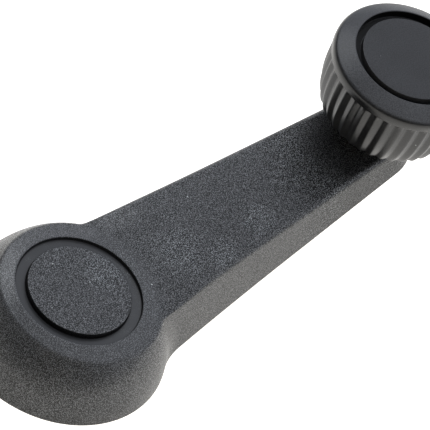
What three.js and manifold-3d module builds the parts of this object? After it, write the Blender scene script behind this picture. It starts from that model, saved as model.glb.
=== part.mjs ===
import * as THREE from 'three';
import { mergeVertices } from 'three/addons/utils/BufferGeometryUtils.js';
import Module from 'manifold-3d';

const wasm = await Module();
wasm.setup();

// A hand crank for a car's side window: a hollow moulded arm with a splined hub at one end
// and a ribbed knob that spins on a spindle at the other.
// Sizes are in millimetres. X runs from the hub to the knob and Z away from the door.
// Heights are measured from the rim that faces the door; the last lines move the origin
// up to the face that the end of the window shaft stops against.

// Hub
const crankRadius = 87;
const hubHeight = 14.8;
const hubBaseRadius = 24;
const hubEdgeRadius = 1;
const hubShoulderWidth = 4.1;
const hubShoulderDrop = 1;
const hubShoulderShift = 1.2;
const hubLipWidth = 0.4;
const hubBellyWidthShare = 0.73;
const hubBellyHeightShare = 0.64;

// Arm: its half widths are taken at the top, on the hub's and the knob's axes
const armRootShare = 0.608;
const armTipHalfWidth = 8.55;
const armEdgeRadius = 2;
const armDraft = THREE.MathUtils.degToRad(11.5);
const armTipRise = 7.9;
const armTipThickness = 7.3;
const armCrown = 0.5;
const armRampStart = 14.2;
const armRampBlend = 8;
const undersideRampStart = 16;
const undersideRampBlend = 4.4;
const cornerFilletTop = 9;
const cornerFilletFoot = 8;

// Hollow underside of the arm
const shellWall = 2.2;
const armRoof = 2.4;
const hubRoof = 3.6;
const insideEdgeRadius = 1.2;
const ribThickness = 1.6;
const ribRecess = 1.2;
const crossRibPitch = 11;
const hubRibCount = 8;
const hubRibFoot = 5.2;
const ribSinkShare = 0.5;

// Round recess in the hub and the cap that snaps into it
const hubRingGap = 2.55;
const capRecessDepth = 1.5;
const capRecessCorner = 0.3;
const hubCapRest = 2.05;
const hubCapProud = 0.3;
const hubCapEdge = 0.2;
const hubWellDepth = 2.3;

// Snap legs under both caps
const legCount = 4;
const legThickness = 0.8;
const legWidth = 4;
const barbDepth = 0.6;
const barbHeight = 0.7;
const undercutDepth = 0.5;

// Drive boss with its splined insert
const bossWall = 1.8;
const bossFoot = 0.8;
const leadInRadius = 5.2;
const leadInLength = 4.1;
const socketDepth = 5.5;
const splineCount = 24;
const splineTipRadius = 4.35;
const splineDepth = 0.5;
const insertWall = 0.95;
const insertFlangeLip = 1.1;
const insertFlangeThickness = 1.2;
const legRoom = 1.6;

// Horseshoe clip that holds the handle on the window shaft
const clipWire = 1.4;
const clipLegOffset = 4.75;
const clipHeight = 2.1;
const clipTipLength = 2.2;

// Knob
const knobHeight = 18;
const flangeLip = 0.2;
const flangeBand = 1.35;
const flangeEdgeRadius = 1.5;
const flangeSlope = THREE.MathUtils.degToRad(25);
const knobRimWidth = 4.25;
const knobRingDepth = 2.2;
const ribCount = 36;
const ribDepth = 0.55;
const ribTurn = 3.8;
const skirtTopRadius = 17;
const skirtTaper = 2.35;
const skirtHeight = 13.7;
const skirtOverlap = 0.6;
const skirtBellyHeight = 4.2;
const skirtWall = 1.4;
const knobDeckHeight = 11.4;
const knobDeckThickness = 2;
const knobTubeRadius = 6.9;
const knobWebCount = 4;
const knobWebThickness = 1.4;
const knobWebFoot = 2.4;
const knobRingGap = 1.7;
const knobCapSink = 0.3;
const knobCapEdge = 0.15;
const knobCapRest = 0.65;

// Spindle, bush and washers
const neckHeight = 3.9;
const neckRadius = 7.2;
const neckFlare = 1.2;
const spindleBossRadius = 6.2;
const spindleBossThickness = 4.3;
const shankRadius = 2.9;
const rivetRadius = 4.2;
const rivetHeight = 1.4;
const backWasherRadius = 5.6;
const backWasherThickness = 0.8;
const collarRadius = 5.2;
const collarThickness = 1;
const journalRadius = 4;
const stubRadius = 3;
const stubLength = 3.8;
const stubChamfer = 0.4;
const bushWall = 1.2;
const bushFlangeRadius = 6.6;
const bushFlangeThickness = 1;
const thrustWasherRadius = 6.8;
const thrustWasherThickness = 0.8;
const waveWasherRadius = 6.6;
const waveWasherThickness = 0.35;
const waveHeight = 0.3;
const waveCount = 3;
const lockRingRadius = 6;
const lockRingThickness = 0.5;
const lockProngCount = 6;
const lockSlotDepth = 1.5;

// Clearances between pieces, and how far a cutting shape runs past what it cuts
const seatGap = 0.1;
const runningGap = 0.08;
const clipGap = 0.2;
const sinkDepth = 0.4;
const overrun = 1;
const weldDistance = 0.0001;

// How finely curves are divided
const roundSegments = 40;
const pinSegments = 24;
const wireSides = 8;
const tipArcSteps = 9;
const armSideSteps = 12;
const filletSteps = 5;
const hubArcSteps = 18;
const edgeSteps = 3;
const sideSteps = 3;
const crownColumns = 4;
const segmentsPerRib = 2;
const skirtSteps = 5;

// Widths that follow from those above
const armRootHalfWidth = armRootShare * hubBaseRadius;
const insertAcrossFlats = 2 * (splineTipRadius + splineDepth + insertWall);
const insertFlangeRadius = insertAcrossFlats / Math.sqrt(3) + insertFlangeLip;
const hubWellRadius = insertFlangeRadius + legRoom;
const hubCapRadius = hubWellRadius + hubCapRest;
const capRecessRadius = hubCapRadius + hubRingGap;
const bossRadius = hubWellRadius + bossWall;
const hubShoulderRadius = capRecessRadius + hubShoulderWidth;
const flangeRadius = skirtTopRadius + flangeLip;
const skirtFootRadius = skirtTopRadius - skirtTaper;
const knobRingRadius = flangeRadius - knobRimWidth;
const knobCapRadius = knobRingRadius - knobRingGap;
const knobWellRadius = knobCapRadius - knobCapRest;

// Heights that several pieces share
const hubShoulderTop = hubHeight - hubShoulderDrop;
const armTipTop = hubHeight + armTipRise;
const recessFloor = hubHeight - capRecessDepth;
const hubWellFloor = recessFloor - hubWellDepth;
const insertFoot = bossFoot + leadInLength;
const shaftSeat = insertFoot + socketDepth;
const clipLevel = bossFoot + clipHeight;
const neckTop = armTipTop + neckHeight;
const spindleBossFoot = armTipTop - spindleBossThickness;
const collarTop = neckTop + seatGap + collarThickness;
const bushFoot = collarTop + seatGap;
const bushFlangeTop = bushFoot + bushFlangeThickness;
const knobFoot = bushFoot - skirtOverlap;
const knobTop = knobFoot + knobHeight;
const skirtTop = knobFoot + skirtHeight;
const knobDeck = knobFoot + knobDeckHeight;
const knobLedge = knobTop - knobRingDepth;
const journalTop = knobDeck + 2 * seatGap;
const thrustWasherFoot = journalTop + seatGap;
const waveWasherFoot = thrustWasherFoot + thrustWasherThickness + seatGap;
const lockRingFoot = waveWasherFoot + waveWasherThickness + 2 * waveHeight + seatGap;

// Solids from geometry and back

function solidOf(geometry) {
  geometry.deleteAttribute('normal');
  geometry.deleteAttribute('uv');
  const welded = mergeVertices(geometry, weldDistance);
  const corners = Array.from(welded.index.array);
  const triangles = [];
  for (let i = 0; i < corners.length; i += 3) {
    const [a, b, c] = corners.slice(i, i + 3);
    if (a !== b && b !== c && c !== a) triangles.push(a, b, c);
  }
  return new wasm.Manifold(new wasm.Mesh({
    numProp: 3,
    vertProperties: welded.attributes.position.array,
    triVerts: Uint32Array.from(triangles),
  }));
}

function geometryOf(solid) {
  const mesh = solid.getMesh();
  const geometry = new THREE.BufferGeometry();
  geometry.setAttribute('position', new THREE.BufferAttribute(Float32Array.from(mesh.vertProperties), 3));
  geometry.setIndex(Array.from(mesh.triVerts));
  geometry.computeVertexNormals();
  return geometry;
}

function joined(solids) {
  return solids.reduce((whole, solid) => whole.add(solid));
}

// Turned shapes: the profile is a list of [radius, height] and runs up the outside

function lathe(profile, segments = roundSegments) {
  const points = profile.map(([radius, height]) => new THREE.Vector2(radius, height));
  return new THREE.LatheGeometry(points, segments);
}

function upright(geometry) {
  return geometry.rotateX(Math.PI / 2);
}

function turned(profile, segments) {
  return solidOf(upright(lathe(profile, segments)));
}

function disc(radius, foot, top) {
  return turned([[0, foot], [radius, foot], [radius, top], [0, top]]);
}

function washer(inner, outer, foot, top) {
  const section = [[inner, foot], [outer, foot], [outer, top], [inner, top], [inner, foot]];
  return turned(section, pinSegments);
}

function arc(centreRadius, centreHeight, radius, from, to, steps = edgeSteps) {
  return Array.from({ length: steps + 1 }, (unused, i) => {
    const angle = THREE.MathUtils.lerp(from, to, i / steps);
    return [centreRadius + radius * Math.cos(angle), centreHeight + radius * Math.sin(angle)];
  });
}

// Straight-sided shapes

function block(width, depth, height, x, y, z) {
  return solidOf(new THREE.BoxGeometry(width, depth, height).translate(x, y, z));
}

function extruded(shape, foot, top) {
  const geometry = new THREE.ExtrudeGeometry(shape, { depth: top - foot, bevelEnabled: false });
  return solidOf(geometry.translate(0, 0, foot));
}

function polarShape(radii, ShapeClass = THREE.Shape) {
  const points = radii.map((radius, i) => {
    const angle = (i / radii.length) * 2 * Math.PI;
    return new THREE.Vector2(radius * Math.cos(angle), radius * Math.sin(angle));
  });
  return new ShapeClass(points);
}

function hexagon(acrossFlats) {
  const cornerRadius = acrossFlats / Math.sqrt(3);
  return polarShape(Array(6).fill(cornerRadius));
}

function aroundZ(count, makeSolid) {
  return Array.from({ length: count }, (unused, i) => makeSolid().rotate([0, 0, (i / count) * 360]));
}

// The arm is a loft of plan outlines, each made of the same arcs and straight sides

function eased(x, start, blend) {
  const inBlend = THREE.MathUtils.clamp(x - start, 0, blend);
  return (inBlend * inBlend) / (2 * blend) + Math.max(x - start - blend, 0);
}

function topHeight(x) {
  return hubHeight + armTipRise * eased(x, armRampStart, armRampBlend)
    / eased(crankRadius, armRampStart, armRampBlend);
}

function rimHeight(x) {
  return (armTipTop - armTipThickness) * eased(x, undersideRampStart, undersideRampBlend)
    / eased(crankRadius, undersideRampStart, undersideRampBlend);
}

function armShare(x) {
  return THREE.MathUtils.smoothstep(x, armRampStart, armRampStart + 2 * armRampBlend);
}

// Points of an arc or a line, each without its last one
function onArc(centre, radius, from, to, steps) {
  return Array.from({ length: steps }, (unused, i) => {
    const angle = THREE.MathUtils.lerp(from, to, i / steps);
    return new THREE.Vector2(Math.cos(angle), Math.sin(angle)).multiplyScalar(radius).add(centre);
  });
}

function alongLine(from, to, steps) {
  return Array.from({ length: steps }, (unused, i) => from.clone().lerp(to, i / steps));
}

// Hub circle, fillet, tapering side and rounded tip, counter-clockwise from the tip's end.
// The shift moves the hub circle's centre towards the tip.
function planOutline({ hub, shift, root, tip, fillet }) {
  const taper = Math.asin((root - tip) / crankRadius);
  const sideNormal = new THREE.Vector2(Math.sin(taper), Math.cos(taper));
  const alongSide = new THREE.Vector2(Math.cos(taper), -Math.sin(taper));
  const hubCentre = new THREE.Vector2(shift, 0);
  const filletRise = root + fillet - hubCentre.dot(sideNormal);
  const filletReach = Math.sqrt((hub + fillet) ** 2 - filletRise ** 2) + hubCentre.dot(alongSide);
  const filletCentre = sideNormal.clone().multiplyScalar(root + fillet);
  filletCentre.addScaledVector(alongSide, filletReach);
  const tipCentre = new THREE.Vector2(crankRadius, 0);
  const hubAngle = filletCentre.clone().sub(hubCentre).angle();
  const sideStart = tipCentre.clone().addScaledVector(sideNormal, tip);
  const sideEnd = filletCentre.clone().addScaledVector(sideNormal, -fillet);

  const half = [
    ...onArc(tipCentre, tip, 0, sideNormal.angle(), tipArcSteps),
    ...alongLine(sideStart, sideEnd, armSideSteps),
    ...onArc(filletCentre, fillet, sideNormal.angle() - Math.PI, hubAngle - Math.PI, filletSteps),
    ...onArc(hubCentre, hub, hubAngle, Math.PI, hubArcSteps),
  ];
  const otherHalf = half.slice(1).reverse().map((point) => new THREE.Vector2(point.x, -point.y));
  return [...half, new THREE.Vector2(shift - hub, 0), ...otherHalf];
}

// The hub's side bulges: its section is a quadratic curve from the foot to the shoulder
function hubSideRadius(height) {
  const bellyHeight = hubShoulderTop * hubBellyHeightShare;
  const bellyRadius = THREE.MathUtils.lerp(hubShoulderRadius, hubBaseRadius, hubBellyWidthShare);
  const bend = 2 * bellyHeight - hubShoulderTop;
  const t = (bellyHeight - Math.sqrt(bellyHeight ** 2 - bend * height)) / bend;
  return (1 - t) ** 2 * hubBaseRadius + 2 * t * (1 - t) * bellyRadius + t ** 2 * hubShoulderRadius;
}

function lofted(rings, crownAt) {
  const corners = [];
  const addPatch = (rows) => {
    for (let r = 0; r + 1 < rows.length; r += 1) {
      for (let c = 0; c + 1 < rows[r].length; c += 1) {
        const [a, b, e, f] = [rows[r][c], rows[r][c + 1], rows[r + 1][c + 1], rows[r + 1][c]];
        corners.push(a, b, e, a, e, f);
      }
    }
  };
  // Straight strips from side to side close the loft, the top ones raised by the crown
  const columns = (outline, crown) => {
    const half = outline.length / 2;
    return Array.from({ length: half + 1 }, (unused, i) => {
      const high = outline[i];
      const low = outline[(outline.length - i) % outline.length];
      return Array.from({ length: crownColumns + 1 }, (unusedToo, j) => {
        const across = (2 * j) / crownColumns - 1;
        const point = low.clone().lerp(high, j / crownColumns);
        if (i > 0 && i < half) point.z += crown(point.x) * (1 - across * across);
        return point;
      });
    });
  };
  addPatch(rings.map((outline) => [...outline, outline[0]]));
  addPatch(columns(rings[rings.length - 1], crownAt));
  addPatch(columns(rings[0], () => 0).map((column) => column.reverse()));
  const geometry = new THREE.BufferGeometry().setFromPoints(corners);
  return solidOf(geometry);
}

// The outer form, or with an inset a smaller one inside it, under the roofs and on a raised foot
function armForm({ inset, hubTop, armCover, edgeAtHub, edgeAtArm, footLift, crown }) {
  const armSideTop = armCover + edgeAtArm * (1 - Math.sin(armDraft));
  const corner = new THREE.Vector2(hubSideRadius(hubTop) - inset, hubTop);
  const sideTop = hubTop - edgeAtHub;
  const draftAt = (halfWidth, depth) => halfWidth + depth * Math.tan(armDraft) - inset;

  // One ring of the loft: the height over the hub and, as a function of x, the height over the arm
  const ring = (outline, hubLevel, armLevel) => {
    const shift = hubShoulderShift * Math.min(hubLevel / hubShoulderTop, 1);
    const share = hubLevel / hubHeight;
    return planOutline({ shift, ...outline }).map((point) => {
      const overHub = THREE.MathUtils.lerp(rimHeight(point.x), topHeight(point.x), share);
      const height = THREE.MathUtils.lerp(overHub, armLevel(point.x), armShare(point.x));
      return new THREE.Vector3(point.x, point.y, height);
    });
  };

  const rings = [];
  for (let i = 0; i <= sideSteps; i += 1) {
    const share = i / sideSteps;
    const level = THREE.MathUtils.lerp(footLift, sideTop, share);
    const outline = {
      hub: hubSideRadius(level) - inset,
      root: draftAt(armRootHalfWidth, THREE.MathUtils.lerp(hubHeight - footLift, armSideTop, share)),
      tip: draftAt(armTipHalfWidth, THREE.MathUtils.lerp(armTipThickness - footLift, armSideTop, share)),
      fillet: THREE.MathUtils.lerp(cornerFilletFoot, cornerFilletTop, share) + inset,
    };
    rings.push(ring(outline, level, (x) => (
      THREE.MathUtils.lerp(rimHeight(x) + footLift, topHeight(x) - armSideTop, share)
    )));
  }

  // Over the edge: an arc along the arm, and on the hub a curve from its side to its sloping top
  const slope = inset > 0 ? 0 : hubShoulderDrop / (hubShoulderRadius - capRecessRadius);
  const edge = new THREE.QuadraticBezierCurve(
    new THREE.Vector2(hubSideRadius(sideTop) - inset, sideTop),
    corner,
    new THREE.Vector2(corner.x - edgeAtHub, hubTop + edgeAtHub * slope),
  );
  const halfWidthAt = (halfWidth, angle) => draftAt(halfWidth, armSideTop)
    - edgeAtArm * (Math.cos(armDraft) - Math.cos(angle));
  for (let i = 1; i <= edgeSteps; i += 1) {
    const { x: hub, y: level } = edge.getPoint(i / edgeSteps);
    const angle = THREE.MathUtils.lerp(armDraft, Math.PI / 2, i / edgeSteps);
    const outline = {
      hub,
      root: halfWidthAt(armRootHalfWidth, angle),
      tip: halfWidthAt(armTipHalfWidth, angle),
      fillet: cornerFilletTop + inset + edgeAtArm * (Math.cos(armDraft) - Math.cos(angle)),
    };
    rings.push(ring(outline, level, (x) => topHeight(x) - armCover - edgeAtArm * (1 - Math.sin(angle))));
  }
  if (inset > 0) return lofted(rings, () => 0);

  // The hub's top slopes up to the recess, while the arm's top rises to its crown
  const step = edge.v2.x - capRecessRadius - hubLipWidth;
  const inner = {
    hub: edge.v2.x - step,
    shift: 0,
    root: halfWidthAt(armRootHalfWidth, Math.PI / 2) - step,
    tip: halfWidthAt(armTipHalfWidth, Math.PI / 2) - step,
    fillet: cornerFilletTop + edgeAtArm + step,
  };
  rings.push(ring(inner, hubHeight, (x) => topHeight(x) + crown / 2));
  return lofted(rings, (x) => (crown / 2) * armShare(x));
}

function insideForm(inset, coverShare, footLift) {
  return armForm({
    inset,
    hubTop: hubHeight - hubRoof * coverShare,
    armCover: armRoof * coverShare,
    edgeAtHub: insideEdgeRadius,
    edgeAtArm: insideEdgeRadius,
    footLift,
    crown: 0,
  });
}

// Crank arm

// Upright sheets become ribs once they are trimmed to a form that ends inside the walls and roof
function armRibs() {
  const start = bossRadius - sinkDepth;
  const length = crankRadius - start;
  const height = 2 * armTipTop;
  const sheets = [block(length, ribThickness, height, start + length / 2, 0, 0)];
  const crossCount = Math.floor((length - spindleBossRadius) / crossRibPitch);
  for (let i = 1; i <= crossCount; i += 1) {
    sheets.push(block(ribThickness, 2 * hubBaseRadius, height, start + i * crossRibPitch, 0, 0));
  }
  return joined(sheets).intersect(insideForm(shellWall * ribSinkShare, ribSinkShare, ribRecess));
}

function hubRibs() {
  const spokes = aroundZ(hubRibCount, () => block(
    hubBaseRadius, ribThickness, 2 * hubHeight, hubBaseRadius / 2, 0, 0,
  ));
  const keepIn = disc(hubBaseRadius - shellWall, 0, hubHeight);
  const trim = insideForm(shellWall * ribSinkShare, ribSinkShare, hubRibFoot);
  return joined(spokes).intersect(keepIn).intersect(trim);
}

function driveBoss() {
  return disc(bossRadius, bossFoot, recessFloor - overrun);
}

function spindleBoss() {
  const shoulder = armTipTop - armRoof / 2;
  return turned([
    [0, spindleBossFoot],
    [spindleBossRadius, spindleBossFoot],
    [spindleBossRadius, shoulder],
    [neckRadius + neckFlare, shoulder],
    [neckRadius + neckFlare, armTipTop + armCrown / 2],
    [neckRadius, armTipTop + armCrown / 2 + neckFlare],
    [neckRadius, neckTop],
    [0, neckTop],
  ]).translate([crankRadius, 0, 0]);
}

// Recess for the cap with a rounded foot, and the well with the groove that its legs snap into
function hubCuts() {
  const above = hubHeight + armTipRise;
  const corner = arc(capRecessRadius - capRecessCorner, recessFloor + capRecessCorner,
    capRecessCorner, -Math.PI / 2, 0);
  const recess = turned([[0, recessFloor], ...corner, [capRecessRadius, above], [0, above]]);
  const well = disc(hubWellRadius, hubWellFloor, recessFloor + overrun);
  const groove = undercut(hubWellRadius, recessFloor + seatGap);
  return joined([recess, well, groove]);
}

function boreCuts() {
  const leadIn = disc(leadInRadius, bossFoot - overrun, insertFoot + overrun);
  const keyed = extruded(hexagon(insertAcrossFlats + 2 * seatGap), insertFoot, hubWellFloor + overrun);
  const slotSize = clipWire + 2 * clipGap;
  const slots = [-1, 1].map((side) => block(
    2 * bossRadius + 2 * overrun, slotSize, slotSize, 0, side * clipLegOffset, clipLevel,
  ));
  const shank = disc(shankRadius + seatGap, 0, neckTop + overrun).translate([crankRadius, 0, 0]);
  const rivetSpace = disc(backWasherRadius + clipGap, 0, spindleBossFoot).translate([crankRadius, 0, 0]);
  return joined([leadIn, keyed, ...slots, shank, rivetSpace]);
}

function crankArm() {
  const outside = armForm({
    inset: 0,
    hubTop: hubShoulderTop,
    armCover: 0,
    edgeAtHub: hubEdgeRadius,
    edgeAtArm: armEdgeRadius,
    footLift: 0,
    crown: armCrown,
  });
  const shell = outside.subtract(insideForm(shellWall, 1, -overrun));
  return joined([shell, armRibs(), hubRibs(), driveBoss(), spindleBoss()])
    .subtract(hubCuts())
    .subtract(boreCuts());
}

// Caps with snap legs: both hook into a groove cut in the wall of the well under them

function legDrop() {
  return hubWellDepth - 2 * seatGap;
}

function undercut(wellRadius, capFoot) {
  const foot = capFoot - legDrop() - seatGap;
  return disc(wellRadius + undercutDepth, foot, foot + barbHeight + 2 * seatGap);
}

// The leg's section is drawn in radius and height, with the barb at its foot
function snapLeg(wellRadius, capFoot) {
  const outer = Math.sqrt((wellRadius - seatGap) ** 2 - (legWidth / 2) ** 2);
  const foot = capFoot - legDrop();
  const section = new THREE.Shape([
    new THREE.Vector2(outer - legThickness, capFoot + seatGap),
    new THREE.Vector2(outer - legThickness, foot),
    new THREE.Vector2(outer, foot),
    new THREE.Vector2(outer + barbDepth / 2, foot + barbHeight / 2),
    new THREE.Vector2(outer + barbDepth / 2, foot + barbHeight),
    new THREE.Vector2(outer, foot + barbHeight),
    new THREE.Vector2(outer, capFoot + seatGap),
  ]);
  const geometry = new THREE.ExtrudeGeometry(section, { depth: legWidth, bevelEnabled: false });
  return solidOf(upright(geometry.translate(0, 0, -legWidth / 2)));
}

function snapCap(radius, edge, foot, top, wellRadius) {
  const rim = arc(radius - edge, top - edge, edge, 0, Math.PI / 2);
  const plate = turned([[0, foot], [radius, foot], ...rim, [0, top]]);
  return joined([plate, ...aroundZ(legCount, () => snapLeg(wellRadius, foot))]);
}

function hubCap() {
  return snapCap(hubCapRadius, hubCapEdge, recessFloor + seatGap, hubHeight + hubCapProud, hubWellRadius);
}

function knobCap() {
  return snapCap(knobCapRadius, knobCapEdge, knobLedge + seatGap, knobTop - knobCapSink, knobWellRadius);
}

// Metal pieces of the hub

function driveInsert() {
  const flangeFoot = hubWellFloor + seatGap;
  const body = extruded(hexagon(insertAcrossFlats), insertFoot + seatGap, flangeFoot + overrun / 2);
  const flange = disc(insertFlangeRadius, flangeFoot, flangeFoot + insertFlangeThickness);
  const tooth = [splineDepth, 0, 0, splineDepth];
  const radii = Array(splineCount).fill(tooth).flat().map((depth) => splineTipRadius + depth);
  const socket = extruded(polarShape(radii), insertFoot - overrun, shaftSeat);
  return joined([body, flange]).subtract(socket);
}

function retainingClip() {
  const bendX = -Math.sqrt(bossRadius ** 2 - clipLegOffset ** 2) - clipGap;
  const tipX = -bendX + clipGap;
  const tip = [tipX + clipTipLength, clipLegOffset + clipTipLength / 2];
  const bendSteps = 6;
  const bend = Array.from({ length: bendSteps + 1 }, (unused, i) => {
    const angle = Math.PI / 2 + (i / bendSteps) * Math.PI;
    return [bendX + clipLegOffset * Math.cos(angle), clipLegOffset * Math.sin(angle)];
  });
  const route = [tip, [tipX, clipLegOffset], [0, clipLegOffset], ...bend, [0, -clipLegOffset],
    [tipX, -clipLegOffset], [tip[0], -tip[1]]];
  const points = route.map(([x, y]) => new THREE.Vector3(x, y, clipLevel));
  const path = new THREE.CatmullRomCurve3(points, false, 'centripetal');
  const section = polarShape(Array(wireSides).fill(clipWire / 2));
  const stepsPerPoint = 4;
  const steps = (route.length - 1) * stepsPerPoint;
  return solidOf(new THREE.ExtrudeGeometry(section, { steps, extrudePath: path, bevelEnabled: false }));
}

// Knob body: a lathe whose skirt rows are pushed in and out to make the ribs

function skirtCurve(inset) {
  return new THREE.QuadraticBezierCurve(
    new THREE.Vector2(skirtFootRadius - inset, knobFoot),
    new THREE.Vector2(skirtTopRadius - inset, knobFoot + skirtBellyHeight),
    new THREE.Vector2(skirtTopRadius - inset, skirtTop),
  ).getPoints(skirtSteps).map((point) => [point.x, point.y]);
}

function knobOutside() {
  const skirt = skirtCurve(0);
  const edge = arc(flangeRadius - flangeEdgeRadius, skirtTop + flangeBand, flangeEdgeRadius,
    0, Math.PI / 2 - flangeSlope);
  const profile = [
    [0, knobFoot],
    ...skirt,
    [flangeRadius, skirtTop],
    ...edge,
    [knobRingRadius, knobTop],
    [0, knobTop],
  ];
  const geometry = lathe(profile, ribCount * segmentsPerRib);
  const positions = geometry.attributes.position;
  for (let i = 0; i < positions.count; i += 1) {
    const row = i % profile.length;
    const isSkirt = row >= 1 && row <= skirt.length;
    const radius = profile[row][0];
    const segment = Math.floor(i / profile.length);
    const depth = isSkirt ? ribDepth * (segment % segmentsPerRib) : 0;
    const scale = radius > 0 ? (radius - depth) / radius : 1;
    positions.setX(i, positions.getX(i) * scale);
    positions.setZ(i, positions.getZ(i) * scale);
  }
  return solidOf(upright(geometry)).rotate([0, 0, ribTurn]);
}

// Hollow between the centre tube and the skirt, deeper where it runs up behind the flange
function knobHollow() {
  const inner = skirtCurve(ribDepth + skirtWall);
  const ceiling = knobDeck - knobDeckThickness;
  const outerCeiling = knobDeck + knobDeckThickness;
  const stepRadius = knobWellRadius + undercutDepth + skirtWall;
  const outerRadius = skirtTopRadius - ribDepth - skirtWall;
  const wall = inner.filter(([, height]) => height < outerCeiling);
  return turned([
    [knobTubeRadius, knobFoot - overrun],
    [wall[0][0], knobFoot - overrun],
    ...wall,
    [outerRadius, outerCeiling],
    [stepRadius, outerCeiling],
    [stepRadius, ceiling],
    [knobTubeRadius, ceiling],
    [knobTubeRadius, knobFoot - overrun],
  ]);
}

// Webs from the centre tube to the skirt, turned so that none lies along X or Y
function knobWebs() {
  const foot = knobFoot + knobWebFoot;
  const top = knobDeck - knobDeckThickness + sinkDepth;
  const start = knobTubeRadius - sinkDepth;
  const webs = aroundZ(knobWebCount, () => block(
    skirtTopRadius - start, knobWebThickness, top - foot,
    (skirtTopRadius + start) / 2, 0, (top + foot) / 2,
  ));
  const keepIn = turned([
    [0, knobFoot],
    ...skirtCurve(ribDepth + skirtWall * ribSinkShare),
    [0, skirtTop],
  ]);
  return joined(webs).rotate([0, 0, 180 / knobWebCount]).intersect(keepIn);
}

function knobBody() {
  const tubeCut = disc(knobTubeRadius + overrun, knobFoot - overrun, bushFlangeTop + seatGap);
  const bushBore = disc(journalRadius + runningGap + bushWall + seatGap, knobFoot, knobTop);
  const well = disc(knobWellRadius, knobDeck, knobTop);
  const ringCut = disc(knobRingRadius, knobLedge, knobTop + overrun);
  const groove = undercut(knobWellRadius, knobLedge + seatGap);
  const hollowed = knobOutside().subtract(knobHollow());
  return joined([hollowed, knobWebs()])
    .subtract(tubeCut)
    .subtract(bushBore)
    .subtract(well)
    .subtract(ringCut)
    .subtract(groove);
}

// Pieces on the spindle's axis

function knobBush() {
  const inner = journalRadius + runningGap;
  const outer = inner + bushWall;
  return turned([
    [inner, bushFoot],
    [bushFlangeRadius, bushFoot],
    [bushFlangeRadius, bushFlangeTop],
    [outer, bushFlangeTop],
    [outer, knobDeck],
    [inner, knobDeck],
    [inner, bushFoot],
  ], pinSegments);
}

function knobSpindle() {
  const headTop = spindleBossFoot - backWasherThickness - 2 * seatGap;
  const headFoot = headTop - rivetHeight;
  const collarFoot = neckTop + seatGap;
  const stubTop = journalTop + stubLength;
  return turned([
    [0, headFoot],
    [rivetRadius - rivetHeight / 2, headFoot],
    [rivetRadius, headTop - rivetHeight / 2],
    [rivetRadius, headTop],
    [shankRadius, headTop],
    [shankRadius, collarFoot],
    [collarRadius, collarFoot],
    [collarRadius, collarTop],
    [journalRadius, collarTop],
    [journalRadius, journalTop],
    [stubRadius, journalTop],
    [stubRadius, stubTop - stubChamfer],
    [stubRadius - stubChamfer, stubTop],
    [0, stubTop],
  ], pinSegments);
}

function backWasher() {
  const top = spindleBossFoot - seatGap;
  return washer(shankRadius + seatGap, backWasherRadius, top - backWasherThickness, top);
}

function thrustWasher() {
  const top = thrustWasherFoot + thrustWasherThickness;
  return washer(stubRadius + seatGap, thrustWasherRadius, thrustWasherFoot, top);
}

// A flat ring bent into waves that press the knob outwards so that it doesn't rattle
function waveWasher() {
  const inner = stubRadius + 2 * seatGap;
  const middle = waveWasherFoot + waveHeight;
  const top = middle + waveWasherThickness;
  const geometry = lathe([
    [inner, middle],
    [waveWasherRadius, middle],
    [waveWasherRadius, top],
    [inner, top],
    [inner, middle],
  ]);
  const positions = geometry.attributes.position;
  for (let i = 0; i < positions.count; i += 1) {
    const angle = Math.atan2(positions.getZ(i), positions.getX(i));
    positions.setY(i, positions.getY(i) + waveHeight * Math.cos(waveCount * angle));
  }
  return solidOf(upright(geometry));
}

// Push-on ring whose prongs bite on the spindle's stub
function lockRing() {
  const tip = stubRadius + seatGap;
  const slot = tip + lockSlotDepth;
  const radii = Array(lockProngCount).fill([tip, tip, tip, tip, slot, slot]).flat();
  const shape = polarShape(Array(roundSegments).fill(lockRingRadius));
  shape.holes.push(polarShape(radii, THREE.Path));
  return extruded(shape, lockRingFoot, lockRingFoot + lockRingThickness);
}

// Materials

function blackGrainedPlastic() {
  return new THREE.MeshStandardMaterial({ color: 0x2b2c2e, roughness: 0.62, metalness: 0 });
}

function blackMattPlastic() {
  return new THREE.MeshStandardMaterial({ color: 0x28292b, roughness: 0.52, metalness: 0 });
}

function blackSatinPlastic() {
  return new THREE.MeshStandardMaterial({ color: 0x222325, roughness: 0.38, metalness: 0 });
}

function paleNylon() {
  return new THREE.MeshStandardMaterial({ color: 0xd9d5c8, roughness: 0.5, metalness: 0 });
}

function zincAlloy() {
  return new THREE.MeshStandardMaterial({ color: 0x8d8f92, roughness: 0.48, metalness: 1 });
}

function springSteel() {
  return new THREE.MeshStandardMaterial({ color: 0x6c6e72, roughness: 0.32, metalness: 1 });
}

function platedSteel() {
  return new THREE.MeshStandardMaterial({ color: 0xa9aaac, roughness: 0.35, metalness: 1 });
}

// Assembly

function piece(name, solid, material) {
  const mesh = new THREE.Mesh(geometryOf(solid), material);
  mesh.name = name;
  return mesh;
}

const knob = new THREE.Group();
knob.add(
  piece('knob_body', knobBody(), blackMattPlastic()),
  piece('knob_cap', knobCap(), blackSatinPlastic()),
  piece('knob_bush', knobBush(), paleNylon()),
);

const knobShaft = new THREE.Group();
knobShaft.add(
  piece('knob_spindle', knobSpindle(), platedSteel()),
  piece('back_washer', backWasher(), platedSteel()),
  piece('thrust_washer', thrustWasher(), platedSteel()),
  piece('wave_washer', waveWasher(), springSteel()),
  piece('lock_ring', lockRing(), springSteel()),
);

knob.position.x = crankRadius;
knobShaft.position.x = crankRadius;

const handle = new THREE.Group();
handle.add(
  piece('crank_arm', crankArm(), blackGrainedPlastic()),
  piece('hub_cap', hubCap(), blackGrainedPlastic()),
  piece('drive_insert', driveInsert(), zincAlloy()),
  piece('retaining_clip', retainingClip(), springSteel()),
  knob,
  knobShaft,
);

// The origin is the centre of the face that stops the window shaft
handle.position.z = -shaftSeat;

export default handle;
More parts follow.
